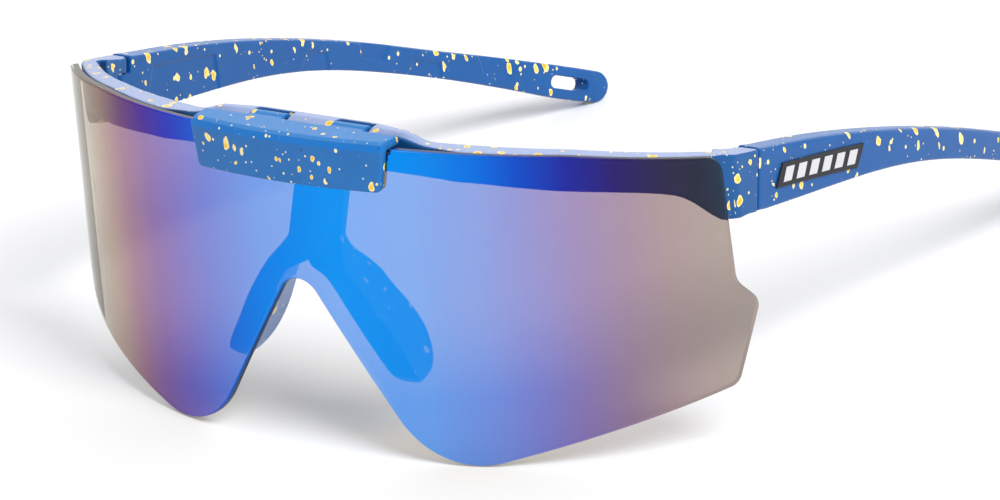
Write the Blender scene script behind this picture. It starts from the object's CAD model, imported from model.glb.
# Wraparound sport sunglasses: a mirrored shield lens on a flip clip, a front frame with a nose
# bridge, and two hinged temples. Fine moulded pieces replace the plain CAD ones.
# Units are metres. X points to the wearer's left, Y from the lens back to the temple tips, Z up
# from the table at z = 0. The lens apex lies at x = 0, y = APEX_Y. Side +1 is left, -1 right.
import bpy
import bmesh
import math
import numpy as np
from mathutils import Matrix, Vector
from mathutils.geometry import delaunay_2d_cdt

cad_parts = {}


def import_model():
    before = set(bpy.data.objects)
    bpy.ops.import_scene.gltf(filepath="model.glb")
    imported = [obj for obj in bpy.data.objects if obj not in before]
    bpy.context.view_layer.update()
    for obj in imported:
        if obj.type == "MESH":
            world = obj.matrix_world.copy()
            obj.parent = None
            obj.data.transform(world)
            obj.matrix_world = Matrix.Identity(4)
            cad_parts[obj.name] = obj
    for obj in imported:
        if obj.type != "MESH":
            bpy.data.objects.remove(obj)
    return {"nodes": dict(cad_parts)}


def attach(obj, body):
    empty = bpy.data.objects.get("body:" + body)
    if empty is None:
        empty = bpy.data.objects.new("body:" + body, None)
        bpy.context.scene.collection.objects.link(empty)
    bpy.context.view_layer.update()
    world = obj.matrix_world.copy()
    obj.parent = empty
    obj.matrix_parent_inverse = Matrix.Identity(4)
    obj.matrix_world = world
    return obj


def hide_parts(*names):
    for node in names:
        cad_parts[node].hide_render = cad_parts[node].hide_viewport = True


cad_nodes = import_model()["nodes"]
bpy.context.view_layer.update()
scene = bpy.context.scene

mm = 0.001
SIDES = ((1, "left"), (-1, "right"))
X, Y, Z = Vector((1, 0, 0)), Vector((0, 1, 0)), Vector((0, 0, 1))

# ---------------------------------------------------------------- driving dimensions
APEX_Y = -82.60 * mm           # front of the lens on the symmetry plane
APEX_Z = 30.85 * mm            # top of the lens's nose notch above the table

LENS_RADIUS = 114.8 * mm       # radius of the lens on the symmetry plane
LENS_WRAP = 0.984              # share by which the curvature has grown at LENS_WRAP_AT
LENS_WRAP_AT = 83.2 * mm
LENS_TILT = math.radians(1.33)
LENS_T = 1.6 * mm
# corners of half the flat lens blank, in mm: (along the lens, height above notch, corner radius)
LENS_CORNERS = [
    (0.0, 25.9, 0.0), (52.0, 24.35, 60.0), (78.2, 21.6, 3.0), (79.25, -0.6, 4.0),
    (83.2, -4.5, 2.6), (78.35, -18.7, 3.0), (25.0, -33.65, 17.0), (0.0, 3.55, 4.48),
]
LENS_SEAT_HALF = 21.05 * mm    # the blank is cut lower here, under the flip clip
LENS_SEAT_TOP = 24.7 * mm
SCREW_X, SCREW_H = 14.5 * mm, 21.4 * mm    # lens screws: off the middle, above the notch
SCREW_HOLE_R = 0.95 * mm

FLIP_Z = 55.7 * mm
FLIP = Vector((0, APEX_Y + 8.4 * mm, FLIP_Z))    # middle of the flip axis
FLIP_R, FLIP_BORE_R = 1.5 * mm, 0.67 * mm        # knuckle and pin bore
KNUCKLE_IN, KNUCKLE_OUT = 5.05 * mm, 12.3 * mm

HINGE_X, HINGE_Y, HINGE_Z = 67.0 * mm, 37.82 * mm, 44.67 * mm
HINGE_TILT = math.radians(10.4)
HINGE_BACK = Vector((0, math.cos(HINGE_TILT), -math.sin(HINGE_TILT)))
HINGE_AXIS = Vector((0, math.sin(HINGE_TILT), math.cos(HINGE_TILT)))
HINGE_R, HINGE_BORE_R = 1.5 * mm, 0.82 * mm
HINGE_KNUCKLE_HALF = 2.2 * mm
SEAM_FRAME, SEAM_TEMPLE = 1.35 * mm, 1.65 * mm   # ends of frame and temple behind the hinge axis
END_OUT, END_IN = 70.1 * mm, 65.5 * mm           # outer and inner face at the hinge

# the drawing stands square to the lens; at rest on the table the part leans by REST_TILT
REST_TILT = math.radians(0.357)
REST_LIFT = -0.258 * mm
REST = Matrix.Translation((0, 0, REST_LIFT)) @ Matrix.Rotation(-REST_TILT, 4, "X")


# ---------------------------------------------------------------- geometry of the lens curve
def wrap_angle(along):
    return (along + LENS_WRAP * along ** 3 / (3 * LENS_WRAP_AT ** 2)) / LENS_RADIUS


def summed(rates):
    """Running trapezium integral of the rates along ARC_S."""
    return np.concatenate([[0], np.cumsum((rates[1:] + rates[:-1]) / 2 * np.diff(ARC_S))])


ARC_S = np.linspace(0, 95 * mm, 1901)
ARC_X = summed(np.cos(wrap_angle(ARC_S)))
ARC_Y = summed(np.sin(wrap_angle(ARC_S)))


def arc_y(along):
    return float(np.interp(abs(along), ARC_S, ARC_Y))


def lens_s(x):
    """Distance along the lens at which it reaches x."""
    return math.copysign(np.interp(abs(x), ARC_X, ARC_S), x)


def lens_point(along, height, depth):
    """Point at a distance along the lens, above the notch and behind the front surface."""
    turn = wrap_angle(abs(along))
    x = np.interp(abs(along), ARC_S, ARC_X) - math.sin(turn) * depth
    y = arc_y(along) + math.cos(turn) * depth
    x = math.copysign(x, along) if along else 0.0
    return (x, y * math.cos(LENS_TILT) + height * math.sin(LENS_TILT) + APEX_Y,
            -y * math.sin(LENS_TILT) + height * math.cos(LENS_TILT) + APEX_Z)


def screw_point(side, depth):
    return Vector(lens_point(lens_s(side * SCREW_X), SCREW_H, depth))


def screw_axis(side):
    """Direction of a lens screw, out of the front of the lens."""
    return (screw_point(side, 0.0) - screw_point(side, 1.0 * mm)).normalized()


def hinge(side):
    return Vector((side * HINGE_X, APEX_Y + HINGE_Y, HINGE_Z))


# ---------------------------------------------------------------- curves
def spline(places, values):
    """Natural cubic spline through the points, as a function."""
    places, values = np.array(places, float), np.array(values, float)
    count = len(places)
    gaps = np.diff(places)
    slopes = np.diff(values) / gaps
    system = np.zeros((count, count))
    target = np.zeros(count)
    system[0, 0] = system[-1, -1] = 1
    for i in range(1, count - 1):
        system[i, i - 1:i + 2] = gaps[i - 1], 2 * (gaps[i - 1] + gaps[i]), gaps[i]
        target[i] = 3 * (slopes[i] - slopes[i - 1])
    bend = np.linalg.solve(system, target)

    def value(place):
        i = int(np.clip(np.searchsorted(places, place) - 1, 0, count - 2))
        step = place - places[i]
        slope = slopes[i] - gaps[i] * (2 * bend[i] + bend[i + 1]) / 3
        cubic = (bend[i + 1] - bend[i]) / (3 * gaps[i])
        return values[i] + slope * step + bend[i] * step * step + cubic * step ** 3
    return value


def smooth(start, end, x):
    share = min(1.0, max(0.0, (x - start) / (end - start)))
    return share * share * (3 - 2 * share)


def eased(points, place):
    """Linear value in a table of (position, value), its kinks rounded over a little length."""
    places, values = zip(*points)
    return sum(np.interp(place + 1.6 * k, places, values)
               for k in (-1, -0.6, -0.2, 0.2, 0.6, 1)) / 6


def rounded_chain(corners, step):
    """Half outline with its corners filleted, turning by at most step per edge."""
    chain = [corners[0][:2]]
    for i, (along, height, radius) in enumerate(corners[1:], 1):
        corner = Vector((along, height))
        before = Vector(corners[i - 1][:2])
        mirrored = (-before.x, before.y)
        after = Vector(corners[i + 1][:2] if i + 1 < len(corners) else mirrored)
        to_before, to_after = (before - corner).normalized(), (after - corner).normalized()
        half = to_before.angle(to_after) / 2
        reach = radius / math.tan(half)
        centre = corner + (to_before + to_after).normalized() * (radius / math.sin(half))
        start, end = corner + to_before * reach, corner + to_after * reach
        turn = math.pi - 2 * half
        count = max(2, int(math.ceil(turn / step)))
        for k in range(count + 1):
            start_share = math.sin((1 - k / count) * turn) / math.sin(turn)
            end_share = math.sin(k / count * turn) / math.sin(turn)
            point = centre + (start - centre) * start_share + (end - centre) * end_share
            if point.x >= -1e-6:
                chain.append((point.x, point.y))
    chain[-1] = (0.0, chain[-1][1])
    return chain


def even(points, step):
    """Adds points along a closed chain so that no edge is longer than step."""
    out = []
    for a, b in zip(points, points[1:] + points[:1]):
        count = max(1, int(math.ceil(math.dist(a, b) / step)))
        out += [(a[0] + (b[0] - a[0]) * k / count, a[1] + (b[1] - a[1]) * k / count)
                for k in range(count)]
    return out


def inset(points, distance):
    """The closed chain moved inwards; the sign of its area tells which way it runs."""
    chain = np.array(points)
    following = np.roll(chain, -1, 0)
    area = 0.5 * np.sum(chain[:, 0] * following[:, 1] - chain[:, 1] * following[:, 0])
    sign = 1 if area > 0 else -1
    normals = []
    for edge in (chain - np.roll(chain, 1, 0), following - chain):
        edge = edge / np.linalg.norm(edge, axis=1)[:, None]
        normals.append(np.stack([-edge[:, 1], edge[:, 0]], 1) * sign)
    mitre = normals[0] + normals[1]
    mitre /= np.maximum(np.sum(mitre * mitre, axis=1) / 2, 0.25)[:, None]
    return [tuple(point) for point in chain + mitre * distance]


# ---------------------------------------------------------------- mesh helpers
def new_object(name, data):
    ob = bpy.data.objects.new(name, data)
    scene.collection.objects.link(ob)
    return ob


def add(name, verts, faces, kinds=(), values=None):
    """Object at rest on the table; kinds are material indices, values are vertex attributes."""
    mesh = bpy.data.meshes.new(name)
    mesh.from_pydata([REST @ Vector(v) for v in verts], [], faces)
    if kinds:
        mesh.polygons.foreach_set("material_index", kinds)
    for word, numbers in (values or {}).items():
        attribute = mesh.attributes.new(word, "FLOAT", "POINT")
        attribute.data.foreach_set("value", np.array(numbers, np.float32))
    bm = bmesh.new()
    bm.from_mesh(mesh)
    bmesh.ops.recalc_face_normals(bm, faces=bm.faces)
    loose = [v for v in bm.verts if not v.link_faces]
    bmesh.ops.delete(bm, geom=loose, context="VERTS")
    bm.to_mesh(mesh)
    bm.free()
    return new_object(name, mesh)


def loft(rings):
    """Closed skin over rings of equally many points, as (vertices, faces)."""
    count = len(rings[0])
    verts = [point for ring in rings for point in ring]
    faces = []
    for i in range(len(rings) - 1):
        for j in range(count):
            k = (j + 1) % count
            faces.append((i * count + j, i * count + k,
                          (i + 1) * count + k, (i + 1) * count + j))
    faces.append(tuple(range(count)))
    faces.append(tuple((len(rings) - 1) * count + j for j in range(count)))
    return verts, faces


def prism(profile, axis, start, end):
    axis = Vector(axis)
    return loft([[tuple(Vector(p) + axis * t) for p in profile] for t in (start, end)])


def side_prism(profile, side, near, far):
    """Prism along X on one side, between two distances from the symmetry plane."""
    return prism(profile, X, *sorted((side * near, side * far)))


def block(half, front, back, low, high):
    """Upright box about the symmetry plane; front and back are distances behind the apex."""
    y0, y1 = APEX_Y + front, APEX_Y + back
    return prism([(-half, y0, 0), (half, y0, 0), (half, y1, 0), (-half, y1, 0)], Z, low, high)


def circle(centre, across, up, radius, count):
    turns = [2 * math.pi * k / count for k in range(count)]
    return [tuple(Vector(centre) + across * radius * math.cos(a) + up * radius * math.sin(a))
            for a in turns]


def turned(centre, axis, steps, count):
    """Turned piece with its seam towards X; steps are (place along the axis, radius)."""
    up = axis.cross(X)
    return loft([circle(Vector(centre) + axis * place, X, up, radius, count)
                 for place, radius in steps])


def arc_profile(centre, radius, start, end, count):
    """Arc in the YZ plane, from angle start to end."""
    turns = [start + (end - start) * k / count for k in range(count + 1)]
    return [(0, centre[1] + radius * math.cos(a), centre[2] + radius * math.sin(a))
            for a in turns]


def bake(ob):
    """Applies the object's modifiers to its mesh."""
    bpy.context.view_layer.update()
    depsgraph = bpy.context.evaluated_depsgraph_get()
    mesh = bpy.data.meshes.new_from_object(ob.evaluated_get(depsgraph))
    ob.modifiers.clear()
    old = ob.data
    ob.data = mesh
    mesh.name = ob.name
    if old.users == 0:
        bpy.data.meshes.remove(old)


def boolean(ob, solid, operation="DIFFERENCE"):
    tool = add("tool", *solid)
    modifier = ob.modifiers.new("tool", "BOOLEAN")
    modifier.operation = operation
    modifier.object = tool
    modifier.solver = "EXACT"
    bake(ob)
    bpy.data.objects.remove(tool, do_unlink=True)


def mould(ob, voxel, rounds):
    """Turns a piece into a fine mesh with softly rounded edges, as a moulding has."""
    remesh = ob.modifiers.new("remesh", "REMESH")
    remesh.mode = "VOXEL"
    remesh.voxel_size = voxel
    remesh.use_smooth_shade = True
    rounding = ob.modifiers.new("round", "SMOOTH")
    rounding.factor = 0.5
    rounding.iterations = rounds
    bake(ob)
    ob.data.shade_smooth()


def soften(ob, width, segments=3):
    bevel = ob.modifiers.new("edges", "BEVEL")
    bevel.width = width
    bevel.segments = segments
    bevel.limit_method = "ANGLE"
    bevel.angle_limit = math.radians(35)
    bevel.harden_normals = True
    ob.data.shade_smooth()


def place(ob, materials, unit, cad_name, slot):
    """Gives a piece its materials and its part in the frame; cad_name is the piece it replaces."""
    for material in materials:
        ob.data.materials.append(material)
    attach(ob, unit)
    if cad_name:
        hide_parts(cad_name)


# ---------------------------------------------------------------- material helper
def srgb(*channels):
    return tuple(((c / 255 + 0.055) / 1.055) ** 2.4 if c > 10 else c / 255 / 12.92
                 for c in channels)


class Shader:
    """A material under construction; colours may leave out their alpha."""
    def __init__(self, name):
        self.material = bpy.data.materials.new(name)
        self.material.use_nodes = True
        self.tree = self.material.node_tree
        self.tree.nodes.clear()
        self.end = self.tree.nodes.new("ShaderNodeOutputMaterial")

    def node(self, kind, inputs=None, **props):
        node = self.tree.nodes.new("ShaderNode" + kind)
        for key, value in props.items():
            setattr(node, key, value)
        for key, value in (inputs or {}).items():
            socket = node.inputs[key]
            if isinstance(value, bpy.types.NodeSocket):
                self.tree.links.new(value, socket)
            elif socket.type == "RGBA":
                socket.default_value = (*value, 1)[:4]
            else:
                socket.default_value = value
        return node

    def out(self, kind, inputs=None, **props):
        return self.node(kind, inputs, **props).outputs[0]

    def finish(self, shader):
        self.tree.links.new(shader, self.end.inputs[0])
        return self.material

    def math(self, operation, a, b=0.0, c=0.0, clamp=False):
        return self.out("Math", {0: a, 1: b, 2: c}, operation=operation, use_clamp=clamp)

    def times(self, a, b):
        return self.math("MULTIPLY", a, b)

    def linear(self, x, gain, base):
        return self.math("MULTIPLY_ADD", x, gain, base)

    def mix(self, share, a, b):
        return self.node("Mix", {0: share, 6: a, 7: b}, data_type="RGBA").outputs[2]

    def rise(self, x, start, end):
        """0 below start, 1 above end, smooth between."""
        return self.out("MapRange", {"Value": x, "From Min": start, "From Max": end},
                        interpolation_type="SMOOTHSTEP")

    def fall(self, x, start, end):
        return self.math("SUBTRACT", 1.0, self.rise(x, start, end))

    def noise(self, where, scale, detail, roughness=0.5, output="Fac"):
        return self.node("TexNoise", {"Vector": where, "Scale": scale, "Detail": detail,
                                      "Roughness": roughness}).outputs[output]

    def bump(self, height, strength, distance):
        return self.out("Bump", {"Height": height, "Strength": strength, "Distance": distance})

    def ramp(self, share, stops):
        node = self.node("ValToRGB", {0: share})
        elements = node.color_ramp.elements
        while len(elements) < len(stops):
            elements.new(0.5)
        for element, (position, colour) in zip(elements, stops):
            element.position = position
            element.color = (*colour, 1.0)
        return node.outputs[0]

    def millimetres(self, offset=(0, 0, 0), scale=(1, 1, 1), rotation=(0, 0, 0)):
        """Object coordinates in millimetres."""
        where = self.node("TexCoord").outputs["Object"]
        return self.out("Mapping", {"Vector": where, "Scale": tuple(1000 * s for s in scale),
                                    "Location": offset, "Rotation": rotation})


# ---------------------------------------------------------------- speckled plastic
def spots(mat, where, cell, share, smallest, largest):
    """Drops in a share of the cells: (distance over drop radius, a random value per drop)."""
    cells = mat.node("TexVoronoi", {"Vector": where, "Scale": 1.0 / cell})
    random = mat.node("SeparateColor", {0: cells.outputs["Color"]}).outputs
    chosen = mat.math("LESS_THAN", random[0], share)
    size = mat.linear(mat.math("POWER", random[1], 1.8),
                      gain=(largest - smallest) / cell, base=smallest / cell)
    size = mat.math("MAXIMUM", mat.times(size, chosen), 1e-4)
    return mat.math("DIVIDE", cells.outputs["Distance"], size), random[2]


def splashes(mat, plain, seed, large, fine, stretch, turn):
    """Big, middle and small drops, and the random shade of the big ones."""
    wobble = mat.noise(plain, scale=0.55, detail=1.5, output="Color")
    shift = mat.out("VectorMath", {0: wobble, 1: (0.5, 0.5, 0.5)}, operation="SUBTRACT")
    shift = mat.out("VectorMath", {0: shift, "Scale": 1.1}, operation="SCALE")
    laid = mat.millimetres((seed, seed * 0.7, -seed * 0.4), stretch, turn)
    laid = mat.out("VectorMath", {0: laid, 1: shift}, operation="ADD")
    crowd = mat.rise(mat.noise(plain, scale=0.075, detail=1.0), start=0.38, end=0.62)
    big, shade = spots(mat, laid, cell=2.1, share=0.40 * large, smallest=0.22, largest=0.92)
    share = mat.linear(crowd, gain=0.36 * fine, base=0.16 * fine)
    small, _ = spots(mat, plain, cell=1.15, share=share, smallest=0.07, largest=0.24)
    elsewhere = mat.millimetres(offset=(seed * 2 + 3, 7, seed), scale=(1, 1, 0.85),
                                rotation=(0.4, 0, 0.3))
    share = mat.linear(crowd, gain=0.3 * fine, base=0.14 * fine)
    middle, _ = spots(mat, elsewhere, cell=2.0, share=share, smallest=0.16, largest=0.42)
    return big, middle, small, shade


def speckled(name, tone, seed, large, fine, stretch=(1, 1, 0.72), turn=(0, 0.35, 0),
             coat=0.08, sheen=0.25, rough=0.30, ior=1.5, bare=None, wash=0.0, band=0.0,
             milk=(186, 199, 236), dust=(246, 240, 208)):
    """Moulded blue plastic with splashed gold and cream paint drops.

    large and fine scale how many drops there are, stretch and turn shape the big ones.
    bare is (highest normal y, least |x| in mm) of the faces without drops. wash is the
    share of milk on upward faces, band the share of deeper blue on the top front bevel.
    """
    mat = Shader(name)
    plain = mat.millimetres()
    big, middle, small, shade = splashes(mat, plain, seed, large, fine, stretch, turn)

    if bare or wash or band:
        normal = mat.node("NewGeometry").outputs["Normal"]
        normal = mat.out("VectorTransform", {0: normal}, vector_type="NORMAL",
                         convert_from="WORLD", convert_to="OBJECT")
        _, normal_y, normal_z = mat.node("SeparateXYZ", {0: normal}).outputs
    if bare:
        off_middle = mat.math("ABSOLUTE", mat.out("SeparateXYZ", {0: plain}))
        hidden = mat.times(mat.math("LESS_THAN", normal_y, bare[0]),
                           mat.math("GREATER_THAN", off_middle, bare[1]))
        big, middle, small = (mat.math("ADD", drop, mat.times(hidden, 100.0))
                              for drop in (big, middle, small))

    # the plastic: blue with a slight unevenness
    cloud = mat.noise(plain, scale=0.16, detail=3.0, roughness=0.55)
    grain = mat.noise(plain, scale=9.0, detail=2.0)
    base = srgb(*tone)
    deep = tuple(0.86 * c for c in base)
    light = tuple(min(1.0, 1.08 * c + 0.004) for c in base)
    colour = mat.mix(cloud, deep, light)
    if band:
        sloped = mat.times(mat.rise(normal_z, start=0.10, end=0.22),
                           mat.fall(normal_z, start=0.62, end=0.80))
        sloped = mat.times(sloped, mat.rise(mat.times(normal_y, -1.0), start=0.3, end=0.6))
        colour = mat.mix(mat.times(sloped, band), colour, srgb(0, 108, 188))
    if wash:
        upward = mat.rise(normal_z, start=0.80, end=0.97)
        colour = mat.mix(mat.times(upward, wash), colour, srgb(*milk))
    if bare:
        # the bare faces lie in the shade of the lens
        shaded = mat.times(mat.rise(off_middle, start=25.0, end=29.0),
                           mat.fall(off_middle, start=65.5, end=68.6))
        shaded = mat.times(hidden, shaded)
        colour = mat.mix(mat.times(shaded, 0.6), colour, srgb(2, 8, 14))

    # a dark line round each big drop, then the drops from big to small
    edge = mat.math("SUBTRACT", mat.math("LESS_THAN", big, 1.12),
                    mat.math("LESS_THAN", big, 1.0), clamp=True)
    colour = mat.mix(mat.times(edge, 0.38), colour, srgb(14, 48, 95))
    gold = mat.ramp(big, [(0.0, srgb(224, 165, 40)), (0.45, srgb(236, 182, 52)),
                          (0.66, srgb(250, 214, 96)), (0.84, srgb(252, 232, 160)),
                          (1.0, srgb(246, 236, 205))])
    gold = mat.mix(mat.times(shade, 0.35), gold, srgb(240, 205, 70))
    colour = mat.mix(mat.fall(big, start=0.94, end=1.04), colour, gold)
    in_middle = mat.fall(middle, start=0.85, end=1.1)
    yellow = mat.ramp(middle, [(0.0, srgb(240, 200, 80)), (0.6, srgb(252, 228, 130)),
                               (1.0, srgb(250, 244, 214))])
    colour = mat.mix(in_middle, colour, yellow)
    in_small = mat.fall(small, start=0.7, end=1.15)
    colour = mat.mix(mat.times(in_small, 0.85), colour, srgb(*dust))
    openness = mat.node("AmbientOcclusion", {"Distance": 0.0009}, samples=6,
                        only_local=True).outputs["AO"]
    crease = mat.fall(openness, start=0.35, end=0.98)
    colour = mat.mix(mat.times(crease, 0.75), colour, srgb(8, 40, 96))

    # relief, in millimetres: the drops, the grain and the slow waves
    drops = mat.math("MAXIMUM", mat.fall(big, start=0.55, end=1.0),
                     mat.math("MAXIMUM", in_middle, in_small))
    height = mat.math("ADD", mat.times(drops, 0.035), mat.times(grain, 0.006))
    height = mat.math("ADD", height, mat.times(cloud, 0.05))
    bump = mat.bump(height, strength=0.55, distance=0.001)
    roughness = mat.linear(grain, gain=0.12, base=rough)
    roughness = mat.linear(drops, gain=-0.06, base=roughness)
    return mat.finish(mat.out("BsdfPrincipled", {
        "Base Color": colour, "Roughness": roughness, "Normal": bump, "IOR": ior,
        "Coat Weight": coat, "Coat Roughness": 0.22, "Sheen Weight": sheen,
        "Sheen Roughness": 0.35, "Sheen Tint": (0.86, 0.88, 1.0)}))


# ---------------------------------------------------------------- metal and badge materials
def brushed_steel(name, tone, scale):
    """Steel of a given brightness; scale squeezes the brush lines along each axis."""
    mat = Shader(name)
    lines = mat.noise(mat.millimetres(scale=scale), scale=2.2, detail=5.0, roughness=0.65)
    wear = mat.noise(mat.millimetres(), scale=0.9, detail=3.0)
    colour = mat.mix(lines, (tone * 0.78, tone * 0.79, tone * 0.82),
                     (tone * 1.12, tone * 1.12, tone * 1.14))
    colour = mat.mix(mat.times(wear, 0.25), colour, (0.42, 0.40, 0.38))
    return mat.finish(mat.out("BsdfPrincipled", {
        "Base Color": colour, "Metallic": 1.0,
        "Roughness": mat.linear(lines, gain=0.22, base=0.18),
        "Normal": mat.bump(lines, strength=0.25, distance=0.00005)}))


def glossy_black(name):
    mat = Shader(name)
    mottle = mat.noise(mat.millimetres(), scale=3.0, detail=4.0)
    return mat.finish(mat.out("BsdfPrincipled", {
        "Base Color": mat.mix(mottle, (0.006, 0.007, 0.010), (0.022, 0.023, 0.028)),
        "Roughness": mat.linear(mottle, gain=0.15, base=0.28),
        "Normal": mat.bump(mottle, strength=0.2, distance=0.00003), "IOR": 1.35}))


# ---------------------------------------------------------------- lens materials
RAMP_HALF = 84.0    # the colour ramps run this many mm to each side of the middle
# the coating from the wearer's right end to the left: (mm along the lens, colour)
# what it lets through
PASS = [
    (-80, (0.46, 0.46, 0.45)), (-70, (0.34, 0.34, 0.33)), (-60, (0.25, 0.24, 0.22)),
    (-52, (0.230, 0.190, 0.165)), (-44, (0.245, 0.175, 0.150)), (-36, (0.245, 0.170, 0.130)),
    (-28, (0.235, 0.170, 0.075)), (-20, (0.210, 0.155, 0.045)), (-8, (0.205, 0.150, 0.020)),
    (8, (0.215, 0.140, 0.015)), (26, (0.242, 0.168, 0.015)), (36, (0.271, 0.209, 0.030)),
    (44, (0.300, 0.242, 0.095)), (52, (0.340, 0.258, 0.176)), (60, (0.368, 0.270, 0.241)),
    (68, (0.391, 0.299, 0.261)), (78, (0.411, 0.337, 0.295)),
]
# what it throws back
THROW = [
    (-80, (0.56, 0.55, 0.53)), (-70, (0.33, 0.32, 0.28)), (-60, (0.27, 0.22, 0.17)),
    (-52, (0.235, 0.160, 0.135)), (-44, (0.135, 0.058, 0.155)), (-36, (0.066, 0.029, 0.262)),
    (-28, (0.030, 0.045, 0.430)), (-20, (0.012, 0.100, 0.560)), (-8, (0.004, 0.190, 0.710)),
    (8, (0.004, 0.262, 0.800)), (24, (0.004, 0.238, 0.775)), (36, (0.004, 0.146, 0.678)),
    (44, (0.007, 0.066, 0.515)), (52, (0.016, 0.020, 0.308)), (60, (0.024, 0.013, 0.130)),
    (68, (0.027, 0.020, 0.056)), (78, (0.022, 0.024, 0.027)),
]


def along_lens(mat):
    """Place on the colour ramps, wandering by up to 1.5 mm."""
    arc = mat.node("Attribute", attribute_name="arc").outputs["Fac"]
    wander = mat.noise(mat.millimetres(), scale=0.05, detail=1.0)
    place_mm = mat.math("SUBTRACT", mat.linear(wander, gain=3.0, base=arc), 1.5)
    return mat.out("MapRange", {"Value": place_mm, "From Min": -RAMP_HALF,
                                "From Max": RAMP_HALF})


def stops(rows):
    return [((along + RAMP_HALF) / (2 * RAMP_HALF), colour) for along, colour in rows]


def outside_only(mat, geometry, shader, inside=(0, 0, 0)):
    """The shader seen from outside the lens body, a see-through colour from within."""
    clear = mat.out("BsdfTransparent", {0: inside})
    return mat.out("MixShader", {0: geometry.outputs["Backfacing"], 1: shader, 2: clear})


def clear_to_light(mat, shader, tint):
    """Light from the lamps passes straight through the lens with the lens's tint."""
    path = mat.node("LightPath").outputs
    direct = mat.math("MAXIMUM", path["Is Shadow Ray"], path["Is Diffuse Ray"])
    clear = mat.out("BsdfTransparent", {0: tint})
    return mat.finish(mat.out("MixShader", {0: direct, 1: shader, 2: clear}))


def lens_front():
    mat = Shader("lens_mirror_coat")
    along = along_lens(mat)
    through = mat.ramp(along, stops(PASS))
    thrown = mat.ramp(along, stops(THROW))
    facing = mat.node("LayerWeight", {"Blend": 0.5}).outputs["Facing"]
    thrown = mat.mix(mat.math("POWER", facing, 11.0), thrown, (1, 1, 1))
    # a ray that has already passed through the lens isn't tinted a second time on leaving
    geometry = mat.node("NewGeometry")
    passes = mat.node("LightPath").outputs["Transmission Depth"]
    again = mat.times(geometry.outputs["Backfacing"], mat.math("GREATER_THAN", passes, 2.5))
    through = mat.mix(again, through, (0.94, 0.94, 0.93))
    waves = mat.noise(mat.millimetres(scale=(1, 1, 0.3)), scale=0.35, detail=3.0)
    bump = mat.bump(waves, strength=0.02, distance=0.0002)
    glass = mat.out("BsdfRefraction", {"Color": through, "Roughness": 0.0, "IOR": 1.5})
    mirror = mat.out("BsdfGlossy", {"Color": thrown, "Roughness": 0.04, "Normal": bump})
    both = mat.out("AddShader", {0: glass, 1: outside_only(mat, geometry, mirror)})
    return clear_to_light(mat, both, mat.mix(0.25, through, (0.40, 0.37, 0.38)))


def lens_back():
    mat = Shader("lens_inner_face")
    mottle = mat.noise(mat.millimetres(), scale=0.4, detail=2.0)
    colour = mat.mix(mottle, (0.96, 0.95, 0.94), (1, 1, 1))
    glass = mat.out("BsdfRefraction", {"Color": colour, "Roughness": 0.0, "IOR": 1.5})
    mirror = mat.out("BsdfGlossy", {"Color": (0.05, 0.05, 0.055), "Roughness": 0.05})
    coat = outside_only(mat, mat.node("NewGeometry"), mirror)
    both = mat.out("AddShader", {0: glass, 1: coat})
    return clear_to_light(mat, both, (0.95, 0.95, 0.95))


def lens_rim():
    mat = Shader("lens_cut_edge")
    tone = mat.ramp(along_lens(mat), [
        (0.0, srgb(112, 108, 98)), (0.25, srgb(80, 70, 70)), (0.42, srgb(32, 36, 66)),
        (0.5, srgb(12, 34, 92)), (0.66, srgb(22, 24, 84)), (0.78, srgb(36, 24, 60)),
        (0.88, srgb(44, 38, 38)), (1.0, srgb(70, 66, 60))])
    grain = mat.noise(mat.millimetres(), scale=5.0, detail=3.0)
    body = mat.out("BsdfPrincipled", {"Base Color": tone, "IOR": 1.35,
                                      "Roughness": mat.linear(grain, gain=0.18, base=0.30)})
    edge = outside_only(mat, mat.node("NewGeometry"), body, inside=(0.9, 0.9, 0.9))
    return clear_to_light(mat, edge, (0.5, 0.48, 0.48))


# ---------------------------------------------------------------- shield lens
outline = [(s * mm, h * mm) for s, h in rounded_chain(LENS_CORNERS, math.radians(2.0))]
widest = max(range(len(outline)), key=lambda i: outline[i][0])
upper = outline[:widest + 1]

FACE_INSET = 0.36 * mm          # from the outline to the flat of a face
INNER_INSET = 0.66 * mm         # a second ring of mesh edges within the face
HOLE_SIDES = 32
T_MM = LENS_T / mm
# rounded rim between the faces, in mm: (inset from the outline, depth behind the front)
RIM = [(0.25, 0.02), (0.16, 0.07), (0.09, 0.15), (0.03, 0.28), (0.0, 0.48), (0.0, 0.75 * T_MM),
       (0.02, T_MM - 0.16), (0.08, T_MM - 0.07), (0.16, T_MM - 0.02)]
COATED_ROWS = 5                 # rows of rim faces that carry the front's coating
FRONT, BACK, CUT = range(3)     # material slots of the lens


def lens_top(along):
    return float(np.interp(abs(along), [p[0] for p in upper], [p[1] for p in upper]))


def lens_chain():
    """Closed outline of the blank with its seat under the clip."""
    seat, step = LENS_SEAT_HALF, 0.02 * mm
    half = [(0.0, LENS_SEAT_TOP), (seat - step, LENS_SEAT_TOP), (seat + step, lens_top(seat))]
    half += [point for point in upper if point[0] > seat] + outline[widest + 1:]
    kept = [half[0]]
    for point in half[1:]:
        if math.dist(point, kept[-1]) > 0.03 * mm:
            kept.append(point)
    return even(kept + [(-s, h) for s, h in kept[-2:0:-1]], 0.8 * mm)


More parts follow.
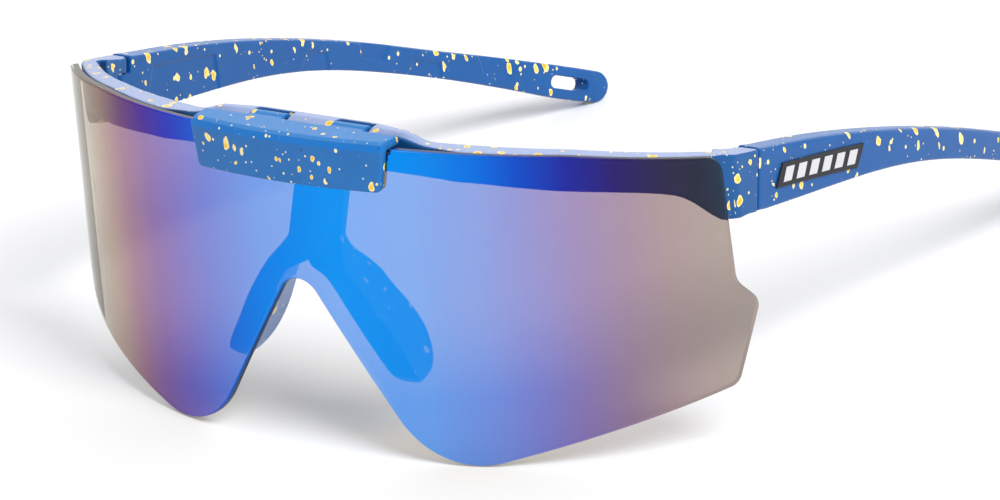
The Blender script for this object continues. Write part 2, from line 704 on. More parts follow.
def face_triangles(face, inner, holes):
    """Triangulates a lens face round its holes, in millimetres of the flat blank."""
    points, edges = [], []
    for ring in (face, inner, *holes):
        first = len(points)
        edges += [(first + i, first + (i + 1) % len(ring)) for i in range(len(ring))]
        points += [Vector(point) * 1000 for point in ring]
    border = np.array(face) * 1000
    x0, y0 = border[:, 0], border[:, 1]
    x1, y1 = np.roll(x0, -1), np.roll(y0, -1)
    run = np.where(y1 == y0, 1e-12, y1 - y0)
    centres = [(lens_s(side * SCREW_X) * 1000, SCREW_H * 1000) for side in (1, -1)]

    def inside(x, y):
        crossed = ((y0 > y) != (y1 > y)) & (x < (x1 - x0) * (y - y0) / run + x0)
        return int(crossed.sum()) % 2 == 1

    def clear_of_holes(x, y, reach):
        return all(math.hypot(x - cx, y - cy) > reach for cx, cy in centres)

    # staggered grid of points over the face
    for i, x in enumerate(np.arange(-83, 84, 1.4)):
        for row in np.arange(-33, 26, 2.2):
            y = row + (1.1 if i % 2 else 0.0)
            if (inside(x, y) and np.min(np.hypot(x0 - x, y0 - y)) > 1.1
                    and clear_of_holes(x, y, 1.5)):
                points.append(Vector((x, y)))
    flat, _, triangles, *_ = delaunay_2d_cdt(points, edges, [], 0, 1e-6)
    kept = []
    for triangle in triangles:
        x, y = (sum(flat[i][axis] for i in triangle) / 3 for axis in (0, 1))
        if inside(x, y) and clear_of_holes(x, y, 0.93):
            kept.append(tuple(triangle))
    return flat, kept


def build_lens():
    chain = lens_chain()
    face = inset(chain, FACE_INSET)
    turns = [2 * math.pi * k / HOLE_SIDES for k in range(HOLE_SIDES)]
    holes = [[(lens_s(side * SCREW_X) + SCREW_HOLE_R * math.cos(a),
               SCREW_H + SCREW_HOLE_R * math.sin(a)) for a in turns] for side in (1, -1)]
    flat, triangles = face_triangles(face, inset(chain, INNER_INSET), holes)
    verts, arcs, sides, faces, kinds = [], [], [], [], []

    def push(along, height, depth, side=0):
        """Adds a vertex; side is 1 on the front face, 2 on the back, 0 on the rim."""
        verts.append(lens_point(along, height, depth))
        arcs.append(along * 1000)
        sides.append(side)
        return len(verts) - 1

    front = [push(v[0] * mm, v[1] * mm, 0.0, 1) for v in flat]
    back = [push(v[0] * mm, v[1] * mm, LENS_T, 2) for v in flat]
    for triangle in triangles:
        faces.append(tuple(front[i] for i in triangle))
        faces.append(tuple(back[i] for i in triangle[::-1]))
        kinds += [FRONT, BACK]

    flat_xy = np.array([(v[0], v[1]) for v in flat])

    def nearest(point):
        gap = flat_xy - np.array(point) * 1000
        return int(np.argmin(np.sum(gap * gap, axis=1)))

    def join(ring0, ring1, kind):
        for i in range(len(ring0)):
            j = (i + 1) % len(ring0)
            faces.append((ring0[i], ring0[j], ring1[j], ring1[i]))
            kinds.append(kind)

    ends = [nearest(point) for point in face]
    rows = [[front[i] for i in ends]]
    for distance, depth in RIM:
        rows.append([push(s, h, depth * mm) for s, h in inset(chain, distance * mm)])
    rows.append([back[i] for i in ends])
    for row, (ring0, ring1) in enumerate(zip(rows, rows[1:])):
        join(ring0, ring1, FRONT if row < COATED_ROWS else CUT)
    for hole in holes:
        ring = [nearest(point) for point in hole]
        join([front[i] for i in ring], [back[i] for i in ring], CUT)

    ob = add("shield_lens_fine", verts, faces, kinds, {"arc": arcs, "side": sides})
    mesh = ob.data
    mesh.shade_smooth()
    # the faces carry the true normals of the lens curve, so reflections run clean to the edge
    turn = REST.to_3x3()
    normals = []
    for vertex, arc, side in zip(mesh.vertices, mesh.attributes["arc"].data,
                                 mesh.attributes["side"].data):
        if side.value:
            outer = Vector(lens_point(arc.value * mm, 0.0, 0.0))
            inner = Vector(lens_point(arc.value * mm, 0.0, 1.0 * mm))
            out = outer - inner if side.value == 1 else inner - outer
            normals.append((turn @ out).normalized())
        else:
            normals.append(vertex.normal.copy())
    mesh.normals_split_custom_set_from_vertices(normals)
    return ob


place(build_lens(), (lens_front(), lens_back(), lens_rim()),
      "lens_unit", "shield_lens", "lens_mirror")


# ---------------------------------------------------------------- front frame
BAR_GAP = 1.95 * mm             # front of the brow bar behind the front of the lens
BAR_CENTRE_FRONT = 6.6 * mm     # flat middle of the bar, behind the lens apex
BAR_CENTRE_BACK = 11.2 * mm
BAR_TOP_DROP = 0.25 * mm
BAR_TOP_HOLD = 73.0 * mm        # beyond this the bar's top runs on past the lens's round corner
BAR_END = 78.6 * mm
BAR_CHAMFER = 0.3 * mm
# along the lens, in mm: (distance, height of the bar's bottom above the notch)
BAR_BOTTOM = [(0, 19.4), (20, 19.5), (28, 19.5), (36, 19.3), (50, 17.8), (58, 17.2), (64, 16.6),
              (69, 15.8), (72, 14.8), (74.4, 12.8), (76.9, 10.6), (78.6, 9.4)]
# along the lens, in mm: (distance, depth of the bar's back behind the front of the lens)
BAR_BACK = [(22, 7.6), (25, 6.8), (36, 6.4), (50, 5.6), (70, 5.3), (77, 5.0), (78.6, 4.6)]
# bar ends before the hinge, in mm: (outer x, outer y, inner x, inner y, top z, bottom z)
BAR_ENDS = [(69.2, 31.6, 65.15, 33.6, 51.4, 39.75), (69.75, 32.45, 65.35, 34.3, 51.15, 39.6),
            (70.05, 33.4, 65.45, 35.0, 50.85, 39.45)]
END_ABOVE, END_BELOW = 5.2 * mm, 5.6 * mm    # reach of the end above and below the hinge middle


def bar_section(along):
    hump = 1 - smooth(20.0 * mm, 26.8 * mm, along)
    turn = math.cos(wrap_angle(along))
    flat = (BAR_CENTRE_FRONT - arc_y(along)) / turn
    front = BAR_GAP
    if flat > 0:
        # soft maximum of the curved front and the flat middle
        front = 0.5 * (front + flat + math.sqrt((front - flat) ** 2 + (0.35 * mm) ** 2))
    back_flat = (BAR_CENTRE_BACK - arc_y(along)) / turn
    back = eased(BAR_BACK, along / mm) * mm
    back = back + (back_flat - back) * (1 - smooth(12 * mm, 27 * mm, along))
    top = lens_top(min(max(along, LENS_SEAT_HALF), BAR_TOP_HOLD))
    top = top - BAR_TOP_DROP - 0.5 * mm * smooth(BAR_TOP_HOLD, BAR_END, along)
    bottom = eased(BAR_BOTTOM, along / mm) * mm
    raised = top + (1.3 * mm) * hump
    front_top = top + 0.75 * mm * hump
    edge = BAR_CHAMFER
    ring = [
        (bottom, front + edge), (bottom + edge, front), (front_top - edge, front),
        (front_top, front + edge), (raised, front + 0.42 * (back - front)),
        (raised, back - edge - 0.5 * mm * hump), (raised - edge - 0.5 * mm * hump, back),
        (bottom + edge, back), (bottom, back - edge),
    ]
    return [lens_point(along, height, depth) for height, depth in ring]


def end_ring(point, top, bottom, thickness):
    """Section of a bar end; point(share, height) runs from the outer to the inner face."""
    edge = BAR_CHAMFER
    corner = edge / thickness
    return [point(*pair) for pair in (
        (corner, bottom), (0, bottom + edge), (0, top - edge), (corner, top), (0.42, top),
        (1 - corner, top), (1, top - edge), (1, bottom + edge), (1 - corner, bottom))]


def bar_end(*row):
    out_x, out_y, in_x, in_y, top, bottom = (value * mm for value in row)

    def point(share, z):
        return (out_x + (in_x - out_x) * share, APEX_Y + out_y + (in_y - out_y) * share, z)
    return end_ring(point, top, bottom, math.hypot(in_x - out_x, in_y - out_y))


def hinge_end(behind, inner):
    base = hinge(1) + HINGE_BACK * behind

    def point(share, height):
        return (END_OUT + (inner - END_OUT) * share, *(base + HINGE_AXIS * height)[1:])
    return end_ring(point, END_ABOVE, -END_BELOW, END_OUT - inner)


def build_frame():
    half = [bar_section(s * mm) for s in list(np.arange(0, 76.5, 0.9)) + [76.5, 77.8]]
    half += [bar_end(*row) for row in BAR_ENDS]
    half += [hinge_end(-0.9 * mm, END_IN), hinge_end(0.5 * mm, END_IN),
             hinge_end(SEAM_FRAME, END_IN + 0.85 * mm)]
    right = [[(-x, y, z) for x, y, z in ring] for ring in half[:0:-1]]
    return loft(right + half)


def flip_bore(side, near, far):
    return side_prism(circle(FLIP, Y, Z, FLIP_BORE_R, 32), side, near, far)


def frame_cuts():
    # pockets for the clip's knuckles, and the bores of their pins
    radius = FLIP_R + 0.25 * mm
    _, y, z = FLIP
    for side in (1, -1):
        profile = arc_profile(FLIP, radius, 0, -math.pi / 2, 16)
        profile += [(0, y - 0 * mm, z - 2.7 * mm), (0, y - 4 * mm, z - 2.7 * mm),
                    (0, y - 4 * mm, z + 5 * mm), (0, y + radius + 0.25 * mm, z + 5 * mm),
                    (0, y + radius + 0.25 * mm, z + 1.2 * mm)]
        yield side_prism(profile, side, KNUCKLE_IN - 0.25 * mm, KNUCKLE_OUT + 0.25 * mm)
        yield flip_bore(side, 2.6 * mm, 16.2 * mm)
    # rounded step in the top front edge between the pockets
    radius, step_y, step_z = 1.05 * mm, y - 0.5 * mm, z + 2.0 * mm
    profile = [(0, step_y + radius, step_z + 3 * mm)]
    profile += arc_profile((0, step_y, step_z), radius, 0, -math.pi / 2, 12)
    profile += [(0, y - 4 * mm, step_z - radius), (0, y - 4 * mm, step_z + 3 * mm)]
    yield prism(profile, X, -KNUCKLE_IN + 0.2 * mm, KNUCKLE_IN - 0.2 * mm)
    # socket for the nose bridge's tab
    yield block(4.25 * mm, 8.6 * mm, 10.6 * mm, 47.0 * mm, 53.6 * mm)
    # slots for the temple knuckles, and the bores of the hinge screws with their head seats
    for side in (1, -1):
        inner, outer, front, back = side * -3.2 * mm, side * 1.85 * mm, -1.85 * mm, 3.0 * mm
        corner = 0.6 * mm
        profile = [tuple(hinge(side) + X * across + HINGE_BACK * behind) for across, behind in (
            (inner, front), (outer - side * corner, front), (outer, front + corner),
            (outer, back), (inner, back))]
        reach = HINGE_KNUCKLE_HALF + 0.3 * mm
        yield prism(profile, HINGE_AXIS, -reach, reach)
        yield turned(hinge(side), HINGE_AXIS, [
            (-6.5 * mm, 1.1 * mm), (-4.25 * mm, 1.1 * mm), (-4.2 * mm, HINGE_BORE_R),
            (4.3 * mm, HINGE_BORE_R)], 36)


front_frame = add("front_frame_fine", *build_frame())
for cut in frame_cuts():
    boolean(front_frame, cut)
mould(front_frame, 0.22 * mm, 4)
frame_plastic = speckled(
    "frame_plastic", tone=(12, 83, 146), seed=3.0, large=1.8, fine=2.4, turn=(0, 0.5, 0),
    coat=0.0, ior=1.38, sheen=0.08, bare=(-0.5, 14.0), wash=0.60, dust=(246, 226, 150))
place(front_frame, [frame_plastic], "frame", "front_frame", "frame_blue")


# ---------------------------------------------------------------- temples
TEMPLE_T0, TEMPLE_T1 = 4.6 * mm, 3.4 * mm    # thickness at the hinge and at the tip
TEMPLE_CURVE = 10.6 * mm        # how far the temple curves in 100 mm behind TEMPLE_CURVE_FROM
TEMPLE_CURVE_FROM = 62.0 * mm
# side profile, in mm: (distance behind the lens apex, height of the middle, half height)
TEMPLE_PROFILE = [
    (39.44, 44.22, 5.42), (50.0, 42.35, 5.05), (60.0, 40.50, 4.55), (75.0, 37.25, 3.62),
    (91.0, 32.80, 2.90), (111.0, 25.60, 2.58), (124.0, 20.30, 2.52), (135.0, 15.70, 2.68),
    (148.5, 9.80, 2.98), (157.0, 6.05, 3.12), (165.7, 2.50, 2.80),
]
TIP_Y = TEMPLE_PROFILE[-1][0] * mm
TIP_R = 2.9 * mm
SLOT_Y, SLOT_L, SLOT_W = 156.3 * mm, 9.7 * mm, 2.4 * mm    # long hole near the tip
RECESS_DEPTH = 0.35 * mm
# recesses of the inner face, in mm: (start, end, slant, -1 open below / +1 open above,
# reach of the step past the middle as a share of the half height)
RECESSES = [(44.0, 65.5, 1.8, -1, 0.55), (88.0, 96.5, 1.6, -1, 0.25),
            (103.2, 111.6, 1.4, 1, 0.15), (116.3, 126.0, 1.6, -1, 0.2),
            (133.2, 144.2, 2.2, 1, 0.2)]

profile_y = [row[0] * mm for row in TEMPLE_PROFILE]
temple_z = spline(profile_y, [row[1] * mm for row in TEMPLE_PROFILE])
temple_half = spline(profile_y, [row[2] * mm for row in TEMPLE_PROFILE])


def temple_outer(y):
    return END_OUT - TEMPLE_CURVE * (max(0.0, y - TEMPLE_CURVE_FROM) / (100 * mm)) ** 2


def temple_inner(y):
    thickness = TEMPLE_T0 + (TEMPLE_T1 - TEMPLE_T0) * smooth(39 * mm, 120 * mm, y)
    return temple_outer(y) - thickness


def temple_frame(y):
    """Middle of the temple's section at y behind the apex, and its upward direction."""
    step = 0.05 * mm
    up = HINGE_AXIS
    if y > profile_y[0] + step:
        slope = (temple_z(y + step) - temple_z(y - step)) / (2 * step)
        up = Vector((0, -slope, 1)).normalized()
    return Vector((0, APEX_Y + y, temple_z(y))), up


def temple_point(side, y, x, height):
    centre, up = temple_frame(y)
    return (side * x, *(centre + up * height)[1:])


def temple_ring(side, y, scale=1.0, inset_by=0.0):
    half = temple_half(y) * scale
    outer, inner = temple_outer(y) - inset_by, temple_inner(y) + inset_by
    bevel, edge = min(0.9 * mm, 0.4 * half), min(0.35 * mm, 0.3 * half)
    ring = [(outer - edge, -half), (outer, -half + edge), (outer, half - bevel),
            (outer - 0.35 * bevel, half - 0.3 * bevel), (outer - bevel, half),
            (inner + edge, half), (inner, half - edge), (inner, -half + edge),
            (inner + edge, -half)]
    return [temple_point(side, y, x, height) for x, height in ring]


def build_temple(side):
    # the first section is moved onto the seam at the hinge
    shift = hinge(side) + HINGE_BACK * SEAM_TEMPLE - temple_frame(profile_y[0])[0]
    rings = [[(x, y + shift.y, z + shift.z) for x, y, z in temple_ring(side, profile_y[0])]]
    start = TIP_Y - TIP_R
    y = 42 * mm
    while y < start - 0.3 * mm:
        rings.append(temple_ring(side, y))
        y += 1.2 * mm
    for degrees in range(0, 86, 5):
        turn = math.radians(degrees)
        rings.append(temple_ring(side, start + TIP_R * math.sin(turn), math.cos(turn),
                                 0.45 * mm * (1 - math.cos(turn))))
    return loft(rings)


def build_knuckle(side):
    """Round-nosed block about the hinge axis, trimmed a little on its inner side."""
    centre = hinge(side)
    turns = [math.pi + math.pi * k / 32 for k in range(33)]
    offsets = [(HINGE_R * math.cos(a), HINGE_R * math.sin(a)) for a in turns]
    offsets += [(HINGE_R, 4.0 * mm), (-HINGE_R, 4.0 * mm)]
    reach = HINGE_R - 0.04 * mm
    profile = []
    for across, behind in offsets:
        x, y, z = centre + X * across + HINGE_BACK * behind
        if (x - centre.x) * side <= -reach:
            x = centre.x - side * reach
        profile.append((x, y, z))
    return prism(profile, HINGE_AXIS, -HINGE_KNUCKLE_HALF, HINGE_KNUCKLE_HALF)


def temple_slot(side):
    centre, up = temple_frame(SLOT_Y)
    along = Vector((0, up.z, -up.y))
    radius, half = SLOT_W / 2, SLOT_L / 2 - SLOT_W / 2
    profile = []
    for end in (1, -1):
        for k in range(17):
            turn = -end * math.pi / 2 + math.pi * k / 16
            point = (centre + along * (end * half + radius * math.cos(turn))
                     + up * (radius * math.sin(turn)))
            profile.append((0, point.y, point.z))
    return side_prism(profile, side, 50 * mm, 75 * mm)


def temple_recess(side, start, end, slant, way, reach):
    rings = []
    places = [start, *np.linspace(start + slant + 0.2, end - slant - 0.2, 9), end]
    leans = [slant * mm] + [0.0] * 9 + [-slant * mm]
    for place_mm, lean in zip(places, leans):
        y = place_mm * mm
        half = temple_half(y)
        floor_x, open_x = temple_inner(y) + RECESS_DEPTH, temple_inner(y) - 1.2 * mm
        step, edge = way * (-reach) * half, way * (half + 0.5 * mm)
        rings.append([temple_point(side, *corner) for corner in (
            (y + lean, floor_x, step), (y, floor_x, edge),
            (y, open_x, edge), (y + lean, open_x, step))])
    return loft(rings)


for side, word in SIDES:
    arm = add("temple_%s_fine" % word, *build_temple(side))
    boolean(arm, build_knuckle(side), "UNION")
    bore = circle(hinge(side), X, HINGE_BACK, HINGE_BORE_R, 32)
    boolean(arm, prism(bore, HINGE_AXIS, -3 * mm, 3 * mm))
    boolean(arm, temple_slot(side))
    for recess in RECESSES:
        boolean(arm, temple_recess(side, *recess))
    mould(arm, 0.22 * mm, 3)
    temple_plastic = speckled(
        "temple_plastic_" + word, tone=(11, 84, 152), seed=11.0 + 7 * side, large=1.45,
        fine=1.9, stretch=(1, 1, 0.6), turn=(0.25, 0, 0), coat=0.0, ior=1.36, sheen=0.04,
        milk=(120, 165, 232), wash=0.25, dust=(246, 222, 140))
    place(arm, [temple_plastic], "temple_%s_arm" % word, "temple_" + word, "temple_blue")


# ---------------------------------------------------------------- nose bridge
STEM_DEPTH = 2.4 * mm
# sections of the stem, in mm: (height, half width)
STEM = [(34.4, 4.4), (35.2, 5.1), (36.4, 5.4), (39.0, 5.4), (44.0, 5.4), (49.6, 5.4)]
# sections of a leg, in mm: (height, inner and outer edge of the front, inner and outer edge
# of the back, distance of the back behind the lens apex)
LEG = [
    (37.6, -1.0, 5.2, -1.0, 5.2, 8.7), (36.0, -1.0, 5.7, -1.0, 5.7, 8.8),
    (34.6, -1.0, 6.6, 1.5, 6.4, 9.2), (33.4, -0.6, 7.5, 3.0, 7.2, 10.0),
    (32.6, 0.9, 8.1, 4.3, 7.8, 10.6), (31.6, 3.2, 8.9, 6.0, 8.5, 11.2),
    (30.2, 4.8, 10.1, 7.2, 9.4, 12.0), (28.2, 6.2, 11.6, 8.7, 10.5, 12.6),
    (26.0, 7.5, 13.2, 10.2, 11.8, 13.3), (24.0, 8.8, 14.5, 11.5, 13.1, 13.9),
    (21.6, 10.3, 15.9, 12.9, 14.5, 14.4), (19.0, 12.0, 17.5, 14.3, 15.9, 14.5),
    (16.6, 13.6, 19.0, 15.5, 17.1, 13.9), (14.8, 14.9, 19.9, 16.4, 18.0, 12.9),
    (13.5, 16.0, 20.1, 17.1, 18.6, 11.5), (12.6, 17.1, 19.6, 17.6, 18.9, 9.8),
]
LEG_GAP = 1.25 * mm             # between the legs and the back of the lens
NOSE_CHAMFER = 0.35 * mm
leg_z, *leg_columns = zip(*LEG[::-1])
leg_curves = [spline(leg_z, column) for column in leg_columns]


def stem_front(z):
    return APEX_Y + 6.0 * mm + (z - 36.4 * mm) * 0.36


def leg_front(z, x):
    behind = APEX_Y + arc_y(lens_s(abs(x))) + LENS_T + LEG_GAP
    stem = min(APEX_Y + 3.05 * mm + 0.8 * (z - 32.5 * mm), stem_front(z))
    tip = max(0.0, 14.8 * mm - z)
    return max(behind, stem) + 0.35 * tip ** 2 / mm


def build_stem():
    rings = []
    edge = NOSE_CHAMFER
    for height, half_width in STEM:
        z, half = height * mm, half_width * mm
        front = stem_front(z) if height > 36 else leg_front(z, 0.0) + 0.02 * mm
        back = front + STEM_DEPTH
        rings.append([
            (-half + edge, front, z), (half - edge, front, z), (half, front + edge, z),
            (half, back - edge, z), (half - edge, back, z), (-half + edge, back, z),
            (-half, back - edge, z), (-half, front + edge, z)])
    return loft(rings)


def build_leg(side):
    rings = []
    edge = NOSE_CHAMFER
    for height in list(np.arange(37.6, 12.6, -0.5)) + [12.6]:
        z = height * mm
        inner, outer, back_inner, back_outer, back = (f(height) * mm for f in leg_curves)
        back += APEX_Y
        sink = 0.05 * max(0.0, z - 33.4 * mm)
        front_inner = leg_front(z, max(inner, 0.0)) + sink
        front_outer = leg_front(z, outer) + sink
        # edges that cross the symmetry plane draw in, so that the legs meet inside the stem
        front_draw = 0.5 * mm if inner < 0 else 0.0
        back_draw = 0.5 * mm if back_inner < 0 else 0.0
        ring = [
            (inner + edge, front_inner + front_draw), (outer - edge, front_outer),
            (outer, front_outer + edge), (back_outer, back - edge),
            (back_outer - edge / 2, back), (back_inner + edge / 2, back - back_draw),
            (back_inner, back - edge - back_draw), (inner, front_inner + edge + front_draw)]
        rings.append([(side * x, y, z) for x, y in ring])
    return loft(rings)


nose = add("nose_bridge_fine", *build_stem())
for side in (1, -1):
    boolean(nose, build_leg(side), "UNION")
# tab that stands in the front frame's socket
boolean(nose, block(4.1 * mm, 8.75 * mm, 10.45 * mm, 46.0 * mm, 53.2 * mm), "UNION")
mould(nose, 0.2 * mm, 7)
nose_plastic = speckled("nose_plastic", tone=(18, 106, 176), seed=23.0, fine=0.9, large=0.6,
                        bare=(-0.35, -1.0))
place(nose, [nose_plastic], "frame", "nose_bridge", "nose_blue")


# ---------------------------------------------------------------- flip clip
CLIP_T = 1.4 * mm               # how far the clip stands in front of the lens
CLIP_HALF_TOP, CLIP_HALF_BOTTOM = 20.6 * mm, 19.5 * mm
CLIP_BACK = 5.8 * mm            # behind the lens apex
CLIP_BOTTOM_H = 17.8 * mm       # above the notch
CLIP_CEILING_H = 25.15 * mm     # underside of the clip's top, above the notch
CLIP_FRONT_R, CLIP_LOWER_R = 0.95 * mm, 1.3 * mm    # end corners: in plan, and at the bottom
CLIP_ENDS = [1, 0.998, 0.994, 0.988, 0.98, 0.97, 0.96, 0.95, 0.937]


def clip_section(share):
    """Section at a share of the half width, from -1 to 1."""
    def on_lens(half, height, depth):
        return lens_point(lens_s(share * half), height, depth)

    def above(behind, z):
        return (share * CLIP_HALF_TOP, APEX_Y + behind, z)

    def rounding(radius):
        gap = min(radius, (1 - abs(share)) * CLIP_HALF_TOP)
        return radius - math.sqrt(max(0.0, radius * radius - (radius - gap) ** 2))

    full, low = CLIP_HALF_TOP, CLIP_HALF_BOTTOM
    draw = rounding(CLIP_FRONT_R)
    front = -CLIP_T + draw
    bottom = CLIP_BOTTOM_H + rounding(CLIP_LOWER_R)
    ceiling = APEX_Z + CLIP_CEILING_H
    seat = -0.15 * mm
    return [
        on_lens(low, bottom, seat), on_lens(low, bottom, front + 0.25 * mm),
        on_lens(low + 0.05 * mm, bottom + 0.3 * mm, front),
        on_lens(full, CLIP_CEILING_H, front), on_lens(full, 26.1 * mm, front + 0.42 * mm),
        on_lens(full, 26.55 * mm - 0.3 * draw, front + 1.35 * mm),
        above(CLIP_BACK - 0.35 * mm, FLIP_Z + 1.8 * mm - 0.3 * draw),
        above(CLIP_BACK, FLIP_Z + 1.45 * mm), above(CLIP_BACK, ceiling),
        (*on_lens(full, CLIP_CEILING_H, seat)[:2], ceiling),
    ]


def build_clip():
    shares = [-v for v in CLIP_ENDS] + list(np.linspace(-0.92, 0.92, 81)) + CLIP_ENDS[::-1]
    return loft([clip_section(share) for share in shares])


def build_clip_arm(side):
    """Arm from the back of the clip round the flip axis."""
    back = APEX_Y + CLIP_BACK
    profile = [(0, back - 2.0 * mm, FLIP_Z + 1.2 * mm)]
    start = math.pi - math.asin(1.2 * mm / FLIP_R)
    profile += arc_profile(FLIP, FLIP_R, start, -math.pi / 2, 32)
    profile += [(0, FLIP.y - 1.2 * mm, FLIP.z - 1.3 * mm), (0, back + 0.4 * mm, FLIP.z + 0.1 * mm),
                (0, back - 0.9 * mm, FLIP.z + 0.8 * mm), (0, back - 2.0 * mm, FLIP.z + 0.8 * mm)]
    return side_prism(profile, side, KNUCKLE_IN, KNUCKLE_OUT)


clip = add("flip_clip_fine", *build_clip())
for side in (1, -1):
    boolean(clip, build_clip_arm(side), "UNION")
for side in (1, -1):
    boolean(clip, flip_bore(side, 4.0 * mm, 13.5 * mm))
    boolean(clip, turned(screw_point(side, 0.0), screw_axis(side),
                         [(-3.4 * mm, SCREW_HOLE_R), (0.75 * mm, SCREW_HOLE_R)], 32))
mould(clip, 0.14 * mm, 2)
clip_plastic = speckled(
    "clip_plastic", tone=(18, 105, 176), seed=0.0, large=1.9, fine=1.3, turn=(0, 0.4, 0),
    coat=0.0, sheen=0.05, rough=0.42, ior=1.42, band=0.85, wash=0.30, milk=(92, 168, 236))
place(clip, [clip_plastic], "lens_unit", "flip_clip", "clip_blue")


# ---------------------------------------------------------------- CAD pieces kept as they are
def repaint(ob, material):
    ob.data.materials.clear()
    ob.data.materials.append(material)


repaint(cad_nodes["lens_backing_plate"],
        speckled("plate_plastic", tone=(20, 108, 184), seed=31.0, large=0.5, fine=0.7))
steel = brushed_steel("fastener_steel", tone=0.60, scale=(1, 1, 14))
spring = brushed_steel("spring_steel", tone=0.5, scale=(14, 1, 1))
for name, ob in cad_nodes.items():
    if name.startswith(("flip_pin", "detent_leaf")):
        repaint(ob, spring if "leaf" in name else steel)


# ---------------------------------------------------------------- screws
# turned profiles from the head to the end, in mm: (place along the axis, radius)
LENS_SCREW = [(-3.9, 0.9), (-3.88, 1.1), (-3.8, 1.3), (-3.68, 1.42), (-3.2, 1.45), (-3.15, 1.4),
              (-3.1, 0.8), (0.4, 0.8), (0.6, 0.55)]
HINGE_SCREW = [(-5.05, 0.6), (-5.03, 0.8), (-4.96, 0.95), (-4.85, 1.0), (-4.38, 1.0),
               (-4.33, 0.95), (-4.3, 0.75), (3.95, 0.75), (4.1, 0.68), (4.15, 0.55)]


def cross_recess(centre, axis, depth, reach, width):
    """Two crossed slots cut into a screw head along its axis."""
    axis = axis.normalized()
    across = (X - axis * X.dot(axis)).normalized()
    other = axis.cross(across)
    for u, v in ((across, other), (other, across)):
        corners = [centre + u * a + v * b for a, b in (
            (-reach, -width), (reach, -width), (reach, width), (-reach, width))]
        yield prism(corners, axis, -depth, 0.5 * mm)


def add_screw(name, centre, axis, profile, count, recess, unit):
    """Screw with its head at the start of the axis; recess is (depth, reach, half width)."""
    steps = [(along * mm, radius * mm) for along, radius in profile]
    screw = add(name + "_fine", *turned(centre, axis, steps, count))
    head = centre - axis * -profile[0][0] * mm
    for cut in cross_recess(head, -axis, *recess):
        boolean(screw, cut)
    soften(screw, 0.03 * mm, 2)
    place(screw, [steel], unit, name, "steel")


for side, word in SIDES:
    add_screw("lens_screw_" + word, screw_point(side, 0.0), screw_axis(side), LENS_SCREW, 56,
              (0.45 * mm, 0.85 * mm, 0.16 * mm), "lens_unit")
    add_screw("hinge_screw_" + word, hinge(side), HINGE_AXIS, HINGE_SCREW, 48,
              (0.4 * mm, 0.6 * mm, 0.11 * mm), "frame")


# ---------------------------------------------------------------- badges
BAR_COUNT, BAR_START, BAR_PITCH, BAR_LENGTH = 6, 46.3, 3.75, 2.35 * mm    # first two in mm


def strip(side, start, end, low, high, inner, outer, lean, count=24):
    """Thin plate on the temple's outer side; lean shifts it backwards 2.1 mm above the middle."""
    rings = []
    edge = 0.08 * mm
    for k in range(count + 1):
        y = start + (end - start) * (k / count)
        ring = []
        for proud, height in ((inner, low), (inner, high), (outer - edge, high),
                              (outer, high - edge), (outer, low + edge), (outer - edge, low)):
            at = y + lean * height / (2.1 * mm)
            ring.append(temple_point(side, at, temple_outer(at) + proud, height))
        rings.append(ring)
    return loft(rings)


def bar_row(side):
    verts, faces = [], []
    for k in range(BAR_COUNT):
        start = (BAR_START + BAR_PITCH * k) * mm
        bar_verts, bar_faces = strip(side, start, start + BAR_LENGTH, -1.35 * mm, 1.2 * mm,
                                     0.34 * mm, 0.52 * mm, 0.75 * mm, 6)
        faces += [tuple(i + len(verts) for i in face) for face in bar_faces]
        verts += bar_verts
    return verts, faces


black = glossy_black("badge_black")
silver = brushed_steel("badge_silver", tone=0.86, scale=(1, 3, 1))
for side, word in SIDES:
    unit = "temple_%s_arm" % word
    badge = add("badge_%s_plate" % word, *strip(side, 45.0 * mm, 69.0 * mm, -2.15 * mm, 1.95 * mm,
                                                0.06 * mm, 0.38 * mm, 0.9 * mm))
    soften(badge, 0.06 * mm)
    place(badge, [black], unit, "badge_" + word, "badge")
    bars = add("badge_%s_bars" % word, *bar_row(side))
    soften(bars, 0.05 * mm)
    place(bars, [silver], unit, None, "badge")


# ---------------------------------------------------------------- floor
def floor_material():
    mat = Shader("floor_paper")
    cloud = mat.noise(mat.millimetres(), scale=0.02, detail=4.0)
    return mat.finish(mat.out("BsdfPrincipled", {
        "Base Color": mat.mix(cloud, (0.90, 0.90, 0.91), (0.92, 0.92, 0.925)),
        "Roughness": 0.85, "Specular IOR Level": 0.1,
        "Emission Color": (1.0, 1.0, 1.0), "Emission Strength": 0.06}))


FLOOR_HALF, FLOOR_Z = 8, -0.0001
floor_mesh = bpy.data.meshes.new("floor")
floor_mesh.from_pydata([(x * FLOOR_HALF, y * FLOOR_HALF, FLOOR_Z) for x, y in (
    (-1, -1), (1, -1), (1, 1), (-1, 1))], [], [(0, 1, 2, 3)])
floor = new_object("floor", floor_mesh)
floor_mesh.materials.append(floor_material())

# ---------------------------------------------------------------- world and lights
SKY_LEVEL, SKY_SEEN_EXTRA = 0.57, 0.47    # brightness, and what camera and glossy rays add

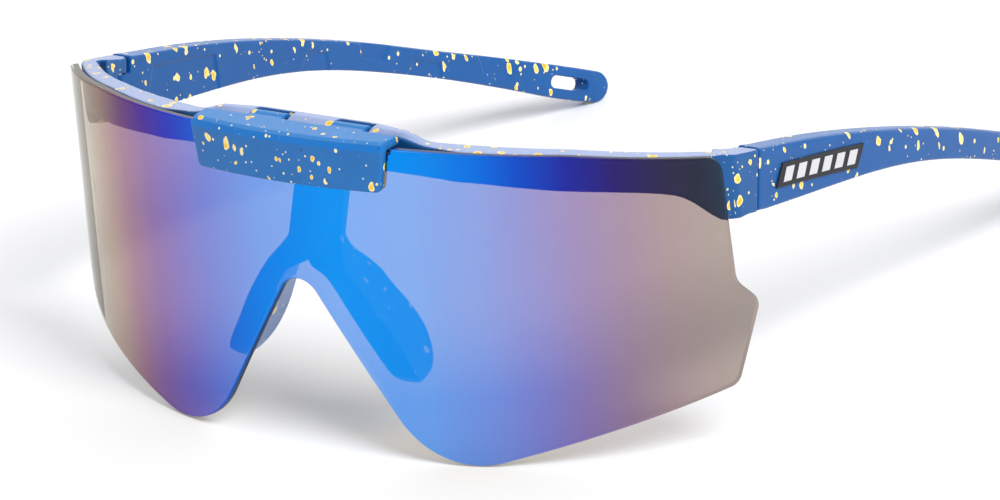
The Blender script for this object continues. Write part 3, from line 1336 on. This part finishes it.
world = bpy.data.worlds.new("studio")
scene.world = world
world.use_nodes = True
tree = world.node_tree
sky = tree.nodes["Background"]
sky.inputs[0].default_value = (0.965, 0.975, 1.0, 1)
path = tree.nodes.new("ShaderNodeLightPath")
level = tree.nodes.new("ShaderNodeMath")
level.operation = "MULTIPLY_ADD"
seen = tree.nodes.new("ShaderNodeMath")
seen.operation = "MAXIMUM"
tree.links.new(path.outputs["Is Camera Ray"], seen.inputs[0])
tree.links.new(path.outputs["Is Glossy Ray"], seen.inputs[1])
tree.links.new(seen.outputs[0], level.inputs[0])
level.inputs[1].default_value = SKY_SEEN_EXTRA
level.inputs[2].default_value = SKY_LEVEL
tree.links.new(level.outputs[0], sky.inputs[1])


def add_light(name, kind, energy, colour, source):
    """Light shining from the direction of source."""
    light = bpy.data.lights.new(name, kind)
    light.energy = energy
    light.color = colour
    ob = new_object(name, light)
    ob.rotation_euler = source.to_track_quat("Z", "Y").to_euler()
    return ob


key = add_light("key", "SUN", energy=2.65, colour=(1.0, 0.99, 0.975),
                source=Vector((0.687, -0.250, 0.682)))
key.data.angle = math.radians(26)
key.visible_glossy = False

sheen_at = Vector((-0.5, 1.2, 0.55))
sheen = add_light("back_sheen", "AREA", energy=2.5, colour=(0.93, 0.95, 1.0),
                  source=sheen_at - Vector((0, 0, 0.04)))
sheen.data.shape = "RECTANGLE"
sheen.data.size, sheen.data.size_y = 1.4, 0.5
sheen.location = sheen_at
sheen.visible_camera = False
sheen.visible_transmission = False

# ---------------------------------------------------------------- camera
CAMERA_AT = Vector((889.21, -1157.48, 546.43)) * mm
# the camera's right, up and backward directions
CAMERA_AXES = Matrix(((0.80482, 0.58470, -0.10193), (-0.12702, 0.33744, 0.93274),
                      (0.57976, -0.73774, 0.34585)))

camera_data = bpy.data.cameras.new("camera")
camera_data.lens = 314.70
camera_data.sensor_width = 36.0
camera_data.clip_start = 0.01
camera_data.clip_end = 100.0
camera = new_object("camera", camera_data)
camera.matrix_world = Matrix.Translation(CAMERA_AT) @ CAMERA_AXES.transposed().to_4x4()
scene.camera = camera

view = scene.view_settings
view.view_transform = "Standard"
view.look = "None"
view.exposure = 0.0
view.gamma = 1.0
